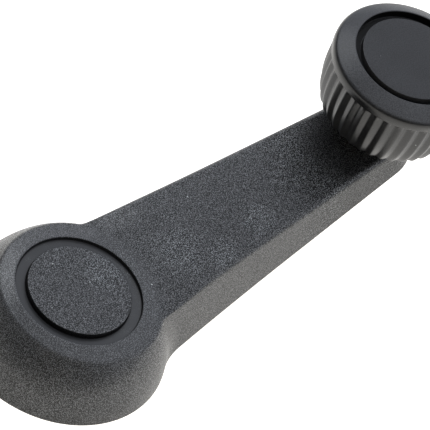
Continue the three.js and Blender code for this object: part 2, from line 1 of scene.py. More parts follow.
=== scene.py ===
import math
import bmesh
import bpy
from mathutils import Matrix, Vector

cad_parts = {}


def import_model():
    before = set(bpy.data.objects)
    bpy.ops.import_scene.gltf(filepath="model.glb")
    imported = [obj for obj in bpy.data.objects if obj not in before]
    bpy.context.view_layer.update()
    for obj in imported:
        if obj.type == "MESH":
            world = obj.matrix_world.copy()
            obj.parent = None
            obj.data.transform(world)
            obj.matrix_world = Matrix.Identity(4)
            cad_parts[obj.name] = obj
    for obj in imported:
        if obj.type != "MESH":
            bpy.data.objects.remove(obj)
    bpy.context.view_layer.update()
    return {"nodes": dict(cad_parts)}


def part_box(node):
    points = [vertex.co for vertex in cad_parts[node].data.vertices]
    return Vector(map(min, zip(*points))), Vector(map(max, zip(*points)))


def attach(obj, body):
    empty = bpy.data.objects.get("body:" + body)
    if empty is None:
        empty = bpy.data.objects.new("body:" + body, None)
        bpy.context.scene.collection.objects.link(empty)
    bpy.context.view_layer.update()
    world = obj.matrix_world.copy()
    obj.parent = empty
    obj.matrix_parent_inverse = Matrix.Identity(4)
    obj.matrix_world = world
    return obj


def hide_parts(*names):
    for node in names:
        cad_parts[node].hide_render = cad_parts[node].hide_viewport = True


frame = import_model()

# The window winder handle: a grained arm with its hub cap, and a ribbed knob on a spindle.
# Sizes are in millimetres and heights start at the hub's rim, as a moulder's drawing has them.
mm = 0.001
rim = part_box("crank_arm")[0].z
crankRadius = 87
past = 1  # how far a cutting form reaches beyond what it cuts
mergeDistance = 0.0002
sharpAngle = 35  # edges of more degrees than this stay crisp
turnSteps = {"show": 128, "form": 96, "hole": 64}  # the sides of turned forms, most where they show most
scratch = []


# Points and meshes

def place(x, y, height):
    return Vector((x * mm, y * mm, rim + height * mm))


def lerp(a, b, share):
    return a + (b - a) * share


def arc(centreRadius, centreHeight, radius, start, end, steps=6):
    points = []
    for i in range(steps + 1):
        angle = math.radians(lerp(start, end, i / steps))
        points.append((centreRadius + radius * math.cos(angle), centreHeight + radius * math.sin(angle)))
    return points


def post(radius, foot, top):
    # the profile of a plain cylinder
    return [(0, foot), (radius, foot), (radius, top), (0, top)]


def aboutUpright(degrees):
    return Matrix.Rotation(math.radians(degrees), 3, "Z")


def smooth(mesh, sharp):
    mesh.shade_smooth()
    mesh.set_sharp_from_angle(angle=math.radians(sharp))


def finishMesh(bm, name, sharp=sharpAngle):
    mesh = bpy.data.meshes.new(name)
    bm.to_mesh(mesh)
    bm.free()
    smooth(mesh, sharp)
    piece = bpy.data.objects.new(name, mesh)
    bpy.context.scene.collection.objects.link(piece)
    return piece


def tool(bm):
    # a form that only joins or cuts another one, thrown away afterwards
    cutter = finishMesh(bm, "tool")
    scratch.append(cutter)
    return cutter


def turned(profile, x=0, steps=turnSteps["form"], closed=False, ribShares=()):
    # spins a profile of (radius, height) round the upright axis at x
    bm = bmesh.new()
    layer = bm.verts.layers.float.new("ribShare")
    verts = [bm.verts.new(place(x + radius, 0, height)) for radius, height in profile]
    for vert, share in zip(verts, ribShares):
        vert[layer] = share
    edges = [bm.edges.new(pair) for pair in zip(verts, verts[1:])]
    if closed:
        edges.append(bm.edges.new((verts[-1], verts[0])))
    bmesh.ops.spin(bm, geom=verts + edges, cent=place(x, 0, 0), axis=(0, 0, 1),
                   angle=2 * math.pi, steps=steps, use_merge=True)
    bmesh.ops.remove_doubles(bm, verts=bm.verts, dist=mergeDistance * mm)
    bmesh.ops.recalc_face_normals(bm, faces=bm.faces)
    return bm


def slab(width, depth, height, x, y, z, turn=0, axis=0):
    # a box with its middle at x, y and z from an upright axis, turned about that axis
    bm = bmesh.new()
    bmesh.ops.create_cube(bm, size=1)
    bmesh.ops.scale(bm, vec=(width * mm, depth * mm, height * mm), verts=bm.verts)
    bmesh.ops.translate(bm, vec=(x * mm, y * mm, 0), verts=bm.verts)
    bmesh.ops.rotate(bm, cent=(0, 0, 0), matrix=aboutUpright(turn), verts=bm.verts)
    bmesh.ops.translate(bm, vec=place(axis, 0, z), verts=bm.verts)
    return bm


def combine(piece, operation, others):
    for other in others:
        modifier = piece.modifiers.new(operation.lower(), "BOOLEAN")
        modifier.operation = operation
        modifier.solver = "MANIFOLD"
        modifier.object = other


def settle(piece, sharp=sharpAngle):
    # makes the joins and cuts part of the mesh and throws the tools away
    graph = bpy.context.evaluated_depsgraph_get()
    mesh = bpy.data.meshes.new_from_object(piece.evaluated_get(graph))
    piece.modifiers.clear()
    piece.data = mesh
    smooth(mesh, sharp)
    for cutter in scratch:
        bpy.data.objects.remove(cutter)
    scratch.clear()
    return piece


def takePlace(piece, material, body, node):
    # the piece takes the place of a CAD node on a body
    piece.data.materials.clear()
    piece.data.materials.append(material)
    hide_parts(node)
    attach(piece, body)


# Shader maths

class Signal:
    # a shader socket that can stand in a sum
    def __init__(self, recipe, socket):
        self.recipe = recipe
        self.socket = socket

    def __add__(self, other):
        return self.recipe.sum("ADD", self, other)

    def __radd__(self, other):
        return self.recipe.sum("ADD", other, self)

    def __sub__(self, other):
        return self.recipe.sum("SUBTRACT", self, other)

    def __rsub__(self, other):
        return self.recipe.sum("SUBTRACT", other, self)

    def __mul__(self, other):
        return self.recipe.sum("MULTIPLY", self, other)

    def __rmul__(self, other):
        return self.recipe.sum("MULTIPLY", other, self)

    def __truediv__(self, other):
        return self.recipe.sum("DIVIDE", self, other)

    def __rtruediv__(self, other):
        return self.recipe.sum("DIVIDE", other, self)


class Recipe:
    # the nodes of a new material, or of a tree that is given
    def __init__(self, name, tree=None):
        self.material = None
        if tree is None:
            self.material = bpy.data.materials.new(name)
            self.material.use_nodes = True
            tree = self.material.node_tree
        self.tree = tree
        self.tree.nodes.clear()

    def node(self, kind, settings=None, values=None, out=0):
        made = self.tree.nodes.new(kind)
        for key, value in (settings or {}).items():
            setattr(made, key, value)
        for key, value in (values or {}).items():
            if isinstance(value, Signal):
                self.tree.links.new(value.socket, made.inputs[key])
            else:
                made.inputs[key].default_value = value
        return Signal(self, made.outputs[out]) if made.outputs else made

    def sum(self, operation, a, b):
        return self.node("ShaderNodeMath", {"operation": operation}, {0: a, 1: b})

    def most(self, a, b):
        return self.sum("MAXIMUM", a, b)

    def vector(self, operation, a, b, out="Vector"):
        return self.node("ShaderNodeVectorMath", {"operation": operation}, {0: a, 1: b}, out=out)

    def ramp(self, signal, low, high, bottom=0.0, top=1.0):
        settings = {"interpolation_type": "SMOOTHSTEP", "clamp": True}
        return self.node("ShaderNodeMapRange", settings, {0: signal, 1: low, 2: high, 3: bottom, 4: top})

    def band(self, signal, starts, full, fades, ends):
        return self.ramp(signal, starts, full) * self.ramp(signal, ends, fades)

    def where(self, turn=0, squeeze=1):
        # the point on the piece, turned about the upright and with a pattern squeezed across y
        coords = self.node("ShaderNodeTexCoord", out="Object")
        values = {"Vector": coords, "Rotation": (0, 0, math.radians(turn)), "Scale": (1, squeeze, 1)}
        return self.node("ShaderNodeMapping", {}, values)

    def upward(self):
        # 1 on a level face that looks up, 0 on an upright one
        facing = self.node("ShaderNodeNewGeometry", out="Normal")
        return self.node("ShaderNodeSeparateXYZ", {}, {0: facing}, out="Z")

    def noise(self, at, cell, detail=2.0, roughness=0.5):
        # cell is the size of one lump
        values = {"Vector": at, "Scale": 1 / (cell * mm), "Detail": detail, "Roughness": roughness}
        return self.node("ShaderNodeTexNoise", {}, values)

    def warped(self, at, cell, reach):
        # the point pushed about by noise
        push = self.node("ShaderNodeTexNoise", {}, {"Vector": at, "Scale": 1 / (cell * mm)}, out="Color")
        centred = self.vector("SUBTRACT", push, (0.5, 0.5, 0.5))
        shift = self.vector("MULTIPLY", centred, (reach * mm, reach * mm, reach * mm))
        return self.vector("ADD", at, shift)

    def across(self, at, x, y):
        # how far the point lies from x, y, seen from above
        flat = self.vector("MULTIPLY", at, (1, 1, 0))
        return self.vector("DISTANCE", flat, (x * mm, y * mm, 0), out="Value") / mm

    def dust(self, at, spacing, edge):
        # about one speck per spacing, from its edge inwards in shares of the spacing
        values = {"Vector": at, "Scale": 1 / (spacing * mm)}
        return self.ramp(self.node("ShaderNodeTexVoronoi", {}, values, out="Distance"), *edge)

    def mottle(self, look, grit, cloud):
        # fine grit with slow clouds in it
        share = look["cloudShare"]
        return self.ramp(grit * (1 - share) + cloud * share, *look["mottle"])

    def blend(self, share, a, b):
        return self.node("ShaderNodeMix", {"data_type": "RGBA"}, {0: share, 6: a, 7: b}, out=2)

    def bump(self, height, depth):
        # depth is the relief for a height from 0 to 1
        return self.node("ShaderNodeBump", {}, {"Height": height, "Distance": depth * mm})

    def surface(self, **values):
        sockets = {key.replace("_", " "): value for key, value in values.items()}
        shader = self.node("ShaderNodeBsdfPrincipled", {}, sockets)
        self.node("ShaderNodeOutputMaterial", {}, {"Surface": shader})
        return self.material


def shade(red, green, blue):
    # a colour as seen on screen, 0 to 255
    def linear(part):
        part /= 255
        return part / 12.92 if part <= 0.04045 else ((part + 0.055) / 1.055) ** 2.4
    return (linear(red), linear(green), linear(blue), 1)


# Materials

# A pair is where a ramp is 0 and where it is 1, and a facing is a pair on how far the surface looks up.
# Four distances from an axis are a band that starts, is full, fades and ends.
grain = {
    # leather: two noises in one sum, cut off into lumps, with a fine one over them
    "cell": 0.19, "secondCellShare": 0.83, "bendCell": 0.9, "bendReach": 0.3, "lumps": (0.96, 1.26),
    "fineCell": 0.15, "fineShare": 0.15, "depth": 0.13, "sideGrain": 0.9, "sideFacing": (0.2, 0.75),
    "valley": shade(15, 16, 18), "ridge": shade(79, 82, 88),
    # a body with little gloss, under a rough coat that is strongest on the ridges
    "roughness": 0.4, "cloudCell": 9, "cloudRoughness": 0.08, "wornRoughness": 0.05, "ior": 1.35,
    "coatIor": 2.0, "coatRoughness": 0.3, "coatRidge": 0.88, "coatSide": 0.6, "coatFacing": (0.1, 0.7),
    # the floor of the hub's recess has no grain and is set to a low level, a painted shade in the recess;
    # the cone round it has calmer grain and is raised brighter, a painted sheen on its slope
    "ring": (11.55, 11.65, 13.95, 14.05), "ringHeight": 0.16,
    "cone": (14, 14.3, 16.8, 18.8), "coneHeight": 0.1, "coneCalm": 0.3,
    # painted shade, near black with little gloss, in the seam round the hub's cap and at the foot of the
    # recess's wall
    "seam": (11.3, 11.42, 11.6, 11.8), "wall": (13.6, 13.9, 14.03, 14.11), "wallShade": 0.85,
    "recessShade": shade(4, 4, 5), "recessShadeMattness": 0.9,
    # rubbed patches: faint ones anywhere, and stronger ones at x and y with a reach
    "patchCell": 9, "patch": (0.54, 0.72), "patchWear": 0.3, "raggedCell": 2.5, "scuffCore": 0.3,
    "scuffs": ((46.5, -5.8, 5), (26, -3.4, 8), (34, -9, 5), (8.4, 1, 7)), "wornFacing": (0.8, 0.97),
    "flecks": (1.12, 1.26), "wornBlend": 0.36, "worn": shade(190, 200, 208),
    # by the knob the arm lies in the knob's shadow: painted shadow with near-black valleys, painted glints
    # on the ridges, a deeper bump, and more painted shade closest to the knob
    "shadedByKnob": (34, 21), "knobShadowValley": shade(1, 1, 2), "knobShadowGlintRidge": shade(134, 139, 145),
    "shadedByKnobRelief": 1.0, "knobShadowReach": (16, 24), "knobShadowGlintShare": 0.18,
    # specks of dust on what looks up
    "dustSpacing": 5.5, "dustEdge": (0.035, 0.02), "dustFacing": (0.2, 0.6), "dust": shade(200, 205, 210),
}


def rubbedPatches(mix, at, upward):
    patches = mix.noise(at, grain["patchCell"], detail=3, roughness=0.6)
    worn = mix.ramp(patches, *grain["patch"]) * grain["patchWear"]
    ragged = mix.noise(at, grain["raggedCell"]) - 0.5
    for x, y, reach in grain["scuffs"]:
        away = mix.across(at, x, y) + ragged * reach
        worn = mix.most(worn, mix.ramp(away, reach, reach * grain["scuffCore"]))
    return worn * mix.ramp(upward, *grain["wornFacing"])


def grainHeight(mix, pattern, fromHub, upward):
    # 0 in a valley and 1 on a ridge
    ring = mix.band(fromHub, *grain["ring"])
    cone = mix.band(fromHub, *grain["cone"])
    lively = (1 - ring) * (1 - cone * grain["coneCalm"])
    lively = lively * mix.ramp(upward, *grain["sideFacing"], grain["sideGrain"])
    lumps = mix.ramp(pattern, *grain["lumps"])
    # the ring's low level is painted shade, and the cone's added level is a painted sheen
    return (lumps - grain["ringHeight"]) * lively + grain["ringHeight"] + cone * grain["coneHeight"]


def grainedPlastic():
    mix = Recipe("grained black plastic")
    at = mix.where()
    upward = mix.upward()
    fromHub = mix.across(at, 0, 0)
    fromKnob = mix.across(at, crankRadius, 0)
    bent = mix.warped(at, grain["bendCell"], grain["bendReach"])
    secondCell = grain["cell"] * grain["secondCellShare"]
    pattern = mix.noise(bent, grain["cell"], detail=0) + mix.noise(bent, secondCell, detail=0)
    height = grainHeight(mix, pattern, fromHub, upward)
    fine = mix.noise(at, grain["fineCell"], roughness=0.6)
    relief = height * (1 - grain["fineShare"]) + fine * grain["fineShare"]
    cloud = mix.noise(at, grain["cloudCell"], detail=3)
    # painted shadow of the knob on the arm; only the highest ridges take the painted glint, and fewer of
    # them close to the knob
    shadedByKnob = mix.ramp(fromKnob, *grain["shadedByKnob"])
    sharp = height * height * height * mix.ramp(fromKnob, *grain["knobShadowReach"], grain["knobShadowGlintShare"])
    grainColour = mix.blend(height, grain["valley"], grain["ridge"])
    body = mix.blend(shadedByKnob, grainColour, mix.blend(sharp, grain["knobShadowValley"], grain["knobShadowGlintRidge"]))
    worn = rubbedPatches(mix, at, upward)
    rubbed = mix.blend(worn * mix.ramp(pattern, *grain["flecks"]) * grain["wornBlend"], body, grain["worn"])
    dust = mix.dust(at, grain["dustSpacing"], grain["dustEdge"]) * mix.ramp(upward, *grain["dustFacing"])
    dusty = mix.blend(dust, rubbed, grain["dust"])
    # painted shade in the seam round the cap and on the recess's wall
    wallShade = mix.band(fromHub, *grain["wall"]) * grain["wallShade"]
    recessShade = mix.most(mix.band(fromHub, *grain["seam"]), wallShade)
    coat = height * grain["coatRidge"] + (1 - grain["coatRidge"]) * (1 - shadedByKnob)
    coat = coat * mix.ramp(upward, *grain["coatFacing"], grain["coatSide"])
    uneven = (cloud - 0.5) * grain["cloudRoughness"] + worn * grain["wornRoughness"]
    return mix.surface(
        Base_Color=mix.blend(recessShade, dusty, grain["recessShade"]),
        Roughness=grain["roughness"] + uneven,
        IOR=grain["ior"],
        Coat_Weight=coat * (1 - recessShade * grain["recessShadeMattness"]),
        Coat_IOR=grain["coatIor"],
        Coat_Roughness=grain["coatRoughness"],
        Normal=mix.bump(relief * (1 + shadedByKnob * grain["shadedByKnobRelief"]), grain["depth"]),
    )


matt = {
    "dark": shade(3, 3, 4), "light": shade(30, 31, 33), "gritCell": 0.24, "depth": 0.03,
    "cloudCell": 7, "cloudShare": 0.2, "mottle": (0.35, 0.65),
    "roughness": 0.31, "cloudRoughness": 0.06, "gritRoughness": 0.1, "ior": 1.5,
    # the flange's top is painted paler than the ribbed side, as painted light, and its band and rounded
    # edge are painted near black, as painted shade
    "paintedLitTopDark": shade(24, 25, 28), "paintedLitTopLight": shade(62, 64, 69), "paintedLitTopFacing": (0.45, 0.9),
    "paintedShadeEdge": shade(3, 3, 3), "paintedShadeEdgeFade": 0.3,
    "scratchCell": 2.2, "scratchTurn": 35, "scratchSqueeze": 14, "scratch": (0.68, 0.8),
    "scratchShare": 0.12,
    "dustSpacing": 6.5, "dustEdge": (0.028, 0.016), "dust": shade(150, 155, 160),
    # the open ring round the knob's cap is rough and painted black, a painted shade for a deeper groove in
    # shadow
    "ring": (11.3, 11.4, 12.85, 12.95), "ringPaintedShade": shade(12, 12, 13), "ringRoughness": 0.4,
}


def mattPlastic():
    mix = Recipe("fine matt black plastic")
    at = mix.where()
    grit = mix.noise(at, matt["gritCell"], detail=3, roughness=0.65)
    cloud = mix.noise(at, matt["cloudCell"], detail=3)
    mottle = mix.mottle(matt, grit, cloud)
    height = mix.node("ShaderNodeSeparateXYZ", {}, {0: at}, out="Z") / mm
    # painted shade on the flange's band and rounded edge above the skirt, and painted light on faces that
    # look up
    flangeFoot = rim / mm + skirtTop
    edge = mix.ramp(height, flangeFoot - matt["paintedShadeEdgeFade"], flangeFoot)
    side = mix.blend(edge, mix.blend(mottle, matt["dark"], matt["light"]), matt["paintedShadeEdge"])
    top = mix.blend(mottle, matt["paintedLitTopDark"], matt["paintedLitTopLight"])
    body = mix.blend(mix.ramp(mix.upward(), *matt["paintedLitTopFacing"]), side, top)
    slanted = mix.where(matt["scratchTurn"], matt["scratchSqueeze"])
    streaks = mix.noise(slanted, matt["scratchCell"], roughness=0.6)
    scratches = mix.ramp(streaks, *matt["scratch"]) * matt["scratchShare"]
    dust = mix.dust(at, matt["dustSpacing"], matt["dustEdge"])
    dusty = mix.blend(mix.most(dust, scratches), body, matt["dust"])
    # painted shade in the open ring round the knob's cap
    ring = mix.band(mix.across(at, crankRadius, 0), *matt["ring"])
    uneven = (cloud - 0.5) * matt["cloudRoughness"] + (grit - 0.5) * matt["gritRoughness"]
    return mix.surface(
        Base_Color=mix.blend(ring, dusty, matt["ringPaintedShade"]),
        Roughness=matt["roughness"] + uneven + ring * matt["ringRoughness"],
        IOR=matt["ior"],
        Normal=mix.bump(grit, matt["depth"]),
    )


satin = {
    "dark": shade(22, 23, 25), "light": shade(46, 47, 51), "gritCell": 0.25,
    "cloudCell": 8, "cloudShare": 0.2, "mottle": (0.35, 0.65), "peelCell": 0.8, "peelDepth": 0.004,
    "roughness": 0.36, "hazeCell": 3, "hazeTurn": -25, "hazeSqueeze": 9, "hazeRoughness": 0.1, "ior": 1.46,
    "dustSpacing": 4.5, "dustEdge": (0.03, 0.015), "dustShare": 0.8, "dust": shade(150, 155, 160),
}


def satinPlastic():
    mix = Recipe("smooth satin black plastic")
    at = mix.where()
    grit = mix.noise(at, satin["gritCell"], roughness=0.6)
    mottle = mix.mottle(satin, grit, mix.noise(at, satin["cloudCell"], detail=4))
    slanted = mix.where(satin["hazeTurn"], satin["hazeSqueeze"])
    haze = mix.noise(slanted, satin["hazeCell"], detail=3, roughness=0.6)
    dust = mix.dust(at, satin["dustSpacing"], satin["dustEdge"]) * satin["dustShare"]
    return mix.surface(
        Base_Color=mix.blend(dust, mix.blend(mottle, satin["dark"], satin["light"]), satin["dust"]),
        Roughness=satin["roughness"] + (haze - 0.5) * satin["hazeRoughness"],
        IOR=satin["ior"],
        Normal=mix.bump(mix.noise(at, satin["peelCell"]), satin["peelDepth"]),
    )


castColours = {"light": shade(150, 151, 154), "dark": shade(105, 106, 110)}
springColours = {"light": shade(138, 140, 146), "dark": shade(84, 86, 92)}
platedColours = {"light": shade(196, 197, 199), "dark": shade(150, 150, 152)}
metals = {
    "cast zinc": {**castColours, "roughness": 0.42, "cell": 0.35, "depth": 0.02},
    "drawn spring steel": {**springColours, "roughness": 0.28, "cell": 0.3, "depth": 0.004},
    "plated steel": {**platedColours, "roughness": 0.3, "cell": 0.5, "depth": 0.004},
    "plated steel washer": {**platedColours, "roughness": 0.34, "cell": 0.6, "depth": 0.004},
    "plated thrust washer": {**platedColours, "roughness": 0.34, "cell": 0.6, "depth": 0.004},
}
stain = {"cell": 4, "colour": (0.4, 0.7), "dulled": (0.5, 0.8), "dulling": 0.12, "uneven": 0.2}


def metal(name):
    look = metals[name]
    mix = Recipe(name)
    at = mix.where()
    rough = mix.noise(at, look["cell"], detail=4, roughness=0.6)
    stained = mix.noise(at, stain["cell"], detail=3, roughness=0.6)
    dulled = mix.ramp(stained, *stain["dulled"]) * stain["dulling"]
    return mix.surface(
        Base_Color=mix.blend(mix.ramp(stained, *stain["colour"]), look["light"], look["dark"]),
        Metallic=1.0,
        Roughness=look["roughness"] + (rough - 0.5) * stain["uneven"] + dulled,
        Normal=mix.bump(rough, look["depth"]),
    )


nylon = {"light": shade(226, 222, 208), "dark": shade(208, 202, 184), "cloudCell": 3, "roughness": 0.46,
         "cloudRoughness": 0.1, "grainCell": 0.2, "grainDepth": 0.004, "glow": 0.1, "glowDepth": 1}


def paleNylon():
    mix = Recipe("pale nylon")
    at = mix.where()
    cloud = mix.noise(at, nylon["cloudCell"], detail=3)
    return mix.surface(
        Base_Color=mix.blend(cloud, nylon["light"], nylon["dark"]),
        Roughness=nylon["roughness"] + (cloud - 0.5) * nylon["cloudRoughness"],
        Subsurface_Weight=nylon["glow"],
        Subsurface_Scale=nylon["glowDepth"] * mm,
        Normal=mix.bump(mix.noise(at, nylon["grainCell"]), nylon["grainDepth"]),
    )


# Crank arm: a shell lofted through plan outlines

arm = {
    "hubHeight": 14.8, "hubRadius": 24, "shoulderRadius": 18.1, "shoulderDrop": 1, "shoulderShift": 1.2,
    "shoulderRound": 0.5, "bellyWidthShare": 0.73, "bellyHeightShare": 0.64, "lipRadius": 14.35,
    "rootShare": 0.58, "rootFlare": 0.5, "tipHalfWidth": 8.35, "edge": 1.8, "draft": 13.5, "crown": 0.5,
    "tipRise": 8.4, "tipThickness": 7.8, "filletTop": 4.5, "filletFoot": 13,
    "rampStart": 13, "rampBlend": 4, "shareSpan": 16, "footRampStart": 16, "footRampBlend": 4.4,
    "wall": 2.2, "roof": 2.4, "hubRoof": 3.6, "insideEdge": 1.2, "sink": 0.4,
    "rib": 1.6, "ribRecess": 1.2, "ribPitch": 11, "spokes": 8, "spokeFoot": 5.2, "spokeTop": 13,
    "outlineSteps": (12, 40, 12, 48), "outsideSteps": (16, 10), "insideSteps": (8, 4),
    "topSteps": 6, "topCuts": 7,
}
tipTop = arm["hubHeight"] + arm["tipRise"]
shoulderTop = arm["hubHeight"] - arm["shoulderDrop"]
shoulderSlope = arm["shoulderDrop"] / (arm["shoulderRadius"] - arm["lipRadius"])
coneStart = arm["shoulderRadius"] - arm["shoulderRound"]
coneWidth = coneStart - arm["lipRadius"]


def eased(x, start, blend):
    inBlend = min(max(x - start, 0), blend)
    return inBlend * inBlend / (2 * blend) + max(x - start - blend, 0)


def topHeight(x):
    full = eased(crankRadius, arm["rampStart"], arm["rampBlend"])
    return arm["hubHeight"] + arm["tipRise"] * eased(x, arm["rampStart"], arm["rampBlend"]) / full


def rimHeight(x):
    full = eased(crankRadius, arm["footRampStart"], arm["footRampBlend"])
    rise = tipTop - arm["tipThickness"]
    return rise * eased(x, arm["footRampStart"], arm["footRampBlend"]) / full


def armShare(x):
    # 0 over the hub and 1 along the arm
    share = min(max((x - arm["rampStart"]) / arm["shareSpan"], 0), 1)
    return share * share * (3 - 2 * share)


def halfOutline(hub, shift, root, tip, fillet):
    # tip arc, tapering side, fillet and hub circle, all on the side where y is above zero
    tipSteps, sideSteps, filletSteps, hubSteps = arm["outlineSteps"]
    taper = math.asin((root - tip) / crankRadius)
    normal = Vector((math.sin(taper), math.cos(taper)))
    along = Vector((math.cos(taper), -math.sin(taper)))
    hubCentre = Vector((shift, 0))
    tipCentre = Vector((crankRadius, 0))
    flared = root + arm["rootFlare"]
    rise = flared + fillet - hubCentre.dot(normal)
    reach = math.sqrt((hub + fillet) ** 2 - rise ** 2) + hubCentre.dot(along)
    centre = normal * (flared + fillet) + along * reach
    sideAngle = math.pi / 2 - taper
    hubAngle = math.atan2(centre.y, centre.x - shift)
    sideStart = tipCentre + normal * tip
    sideEnd = centre - normal * fillet
    points = []
    for i in range(tipSteps):
        angle = lerp(0, sideAngle, (i + 0.5) / tipSteps)
        points.append(tipCentre + Vector((math.cos(angle), math.sin(angle))) * tip)
    for i in range(sideSteps):
        share = i / sideSteps
        bow = arm["rootFlare"] * (share - max(2 * share - 1, 0) ** 2)
        points.append(sideStart.lerp(sideEnd, share) - normal * bow)
    for i in range(filletSteps):
        angle = lerp(sideAngle - math.pi, hubAngle - math.pi, i / filletSteps)
        points.append(centre + Vector((math.cos(angle), math.sin(angle))) * fillet)
    for i in range(hubSteps):
        angle = lerp(hubAngle, math.pi, i / (hubSteps - 0.5))
        points.append(hubCentre + Vector((math.cos(angle), math.sin(angle))) * hub)
    return points


def hubSide(height):
    # the radius of the hub's bulging side, a quadratic curve from the foot to the shoulder
    belly = shoulderTop * arm["bellyHeightShare"]
    wide = lerp(arm["shoulderRadius"], arm["hubRadius"], arm["bellyWidthShare"])
    bend = 2 * belly - shoulderTop
    t = (belly - math.sqrt(belly ** 2 - bend * height)) / bend
    return (1 - t) ** 2 * arm["hubRadius"] + 2 * t * (1 - t) * wide + t ** 2 * arm["shoulderRadius"]


def halfWidths(topDepth, footDepth, share, inset):
    # the arm's half widths on the hub's and the knob's axes, drafted down the side
    slope = math.tan(math.radians(arm["draft"]))
    root = arm["rootShare"] * arm["hubRadius"] + lerp(arm["hubHeight"] - footDepth, topDepth, share) * slope
    tip = arm["tipHalfWidth"] + lerp(arm["tipThickness"] - footDepth, topDepth, share) * slope
    return root - inset, tip - inset


def outlineRing(hub, level, widths, fillet, armLevel, shift=None):
    # heights follow the hub's level near the hub and armLevel, a function of x and y, along the arm
    if shift is None:
        shift = arm["shoulderShift"] * min(level / shoulderTop, 1)
    points = []
    for p in halfOutline(hub, shift, *widths, fillet):
        overHub = lerp(rimHeight(p.x), topHeight(p.x), level / arm["hubHeight"])
        points.append((p.x, p.y, lerp(overHub, armLevel(p.x, p.y), armShare(p.x))))
    mirrored = [(x, -y, height) for x, y, height in reversed(points)]
    return [place(*point) for point in points + mirrored]


def sideRings(inset, hubTop, cover, hubEdge, armEdge, footLift, steps):
    # from the foot up the side and round the edge to the top
    sideSteps, edgeSteps = steps
    draft = math.radians(arm["draft"])
    sideDepth = cover + armEdge * (1 - math.sin(draft))
    sideTop = hubTop - hubEdge
    rings = []
    for i in range(sideSteps + 1):
        share = i / sideSteps
        level = lerp(footLift, sideTop, share)
        fillet = lerp(arm["filletFoot"], arm["filletTop"], share) + inset
        rings.append(outlineRing(
            hubSide(level) - inset, level, halfWidths(sideDepth, footLift, share, inset), fillet,
            lambda x, y: lerp(rimHeight(x) + footLift, topHeight(x) - sideDepth, share)))
    slope = shoulderSlope if inset == 0 else 0
    start = Vector((hubSide(sideTop) - inset, sideTop))
    corner = Vector((hubSide(hubTop) - inset, hubTop))
    end = corner + Vector((-hubEdge, hubEdge * slope))
    for i in range(1, edgeSteps + 1):
        t = i / edgeSteps
        hub, level = start.lerp(corner, t).lerp(corner.lerp(end, t), t)
        angle = lerp(draft, math.pi / 2, t)
        inward = inset + armEdge * (math.cos(draft) - math.cos(angle))
        rings.append(outlineRing(
            hub, level, halfWidths(sideDepth, footLift, 1, inward), arm["filletTop"] + inward,
            lambda x, y: topHeight(x) - cover - armEdge * (1 - math.sin(angle))))
    return rings


def topRings():
    # over the hub a cone from the shoulder to the recess, along the arm a crowned top
    draft = math.radians(arm["draft"])
    sideDepth = arm["edge"] * (1 - math.sin(draft))
    rings = []
    for i in range(1, arm["topSteps"] + 1):
        share = i / arm["topSteps"]
        inward = coneWidth * share
        level = arm["hubHeight"] - shoulderSlope * (coneWidth - inward)
        inset = arm["edge"] * math.cos(draft) + inward
        shift = arm["shoulderShift"] * (1 - share)

        def crowned(x, y):
            middle = math.hypot(max(x - crankRadius, 0), y)
            return topHeight(x) + arm["crown"] * (1 - (middle / (middle + inward)) ** 2)
        widths = halfWidths(sideDepth, 0, 1, inset)
        fillet = arm["filletTop"] + inset
        rings.append(outlineRing(coneStart - inward, level, widths, fillet, crowned, shift))
    return rings


def extrudeTo(bm, loop, points):
    # pulls a closed loop of edges out to the next outline
    edges = [bm.edges.get((a, b)) for a, b in zip(loop, loop[1:] + loop[:1])]
    made = bmesh.ops.extrude_edge_only(bm, edges=edges)["geom"]
    order = {vert: i for i, vert in enumerate(loop)}
    pulled = [None] * len(loop)
    for vert in made:
        if isinstance(vert, bmesh.types.BMVert):
            for edge in vert.link_edges:
                if edge.other_vert(vert) in order:
                    pulled[order[edge.other_vert(vert)]] = vert
    for vert, point in zip(pulled, points):
        vert.co = point
    return pulled


def alongArm(vert):
    # x to a thousandth of a millimetre, the same for all points of one strip's edge
    return round(vert.co.x, 6)


def closeAcross(bm, loop, crown):
    # strips from side to side, their middles raised by the crown
    half = len(loop) // 2
    facing = list(zip(loop[:half], reversed(loop[half:])))
    for (a, b), (c, d) in zip(facing, facing[1:]):
        bm.faces.new((a, c, d, b))
    if not crown:
        return
    halfWidth = {alongArm(left): left.co.y for left, right in facing}
    edges = [bm.edges.get(pair) for pair in facing]
    made = bmesh.ops.subdivide_edges(bm, edges=edges, cuts=arm["topCuts"], use_grid_fill=True)["geom_inner"]
    for vert in made:
        if isinstance(vert, bmesh.types.BMVert):
            side = halfWidth[alongArm(vert)]
            share = (side ** 2 - vert.co.y ** 2) / (side + coneWidth * mm) ** 2
            vert.co.z += crown * mm * armShare(vert.co.x / mm) * share


def loft(rings, crown=0):
    bm = bmesh.new()
    loop = [bm.verts.new(point) for point in rings[0]]
    for a, b in zip(loop, loop[1:] + loop[:1]):
        bm.edges.new((a, b))
    first = loop
    for ring in rings[1:]:
        loop = extrudeTo(bm, loop, ring)
    closeAcross(bm, first, 0)
    closeAcross(bm, loop, crown)
    bmesh.ops.recalc_face_normals(bm, faces=bm.faces)
    return bm


def insideRings(share, footLift):
    # share 1 is the inner face of the walls and the roof, and 0.5 lies in their middle
    return sideRings(arm["wall"] * share, arm["hubHeight"] - arm["hubRoof"] * share, arm["roof"] * share,
                     arm["insideEdge"], arm["insideEdge"], footLift, arm["insideSteps"])


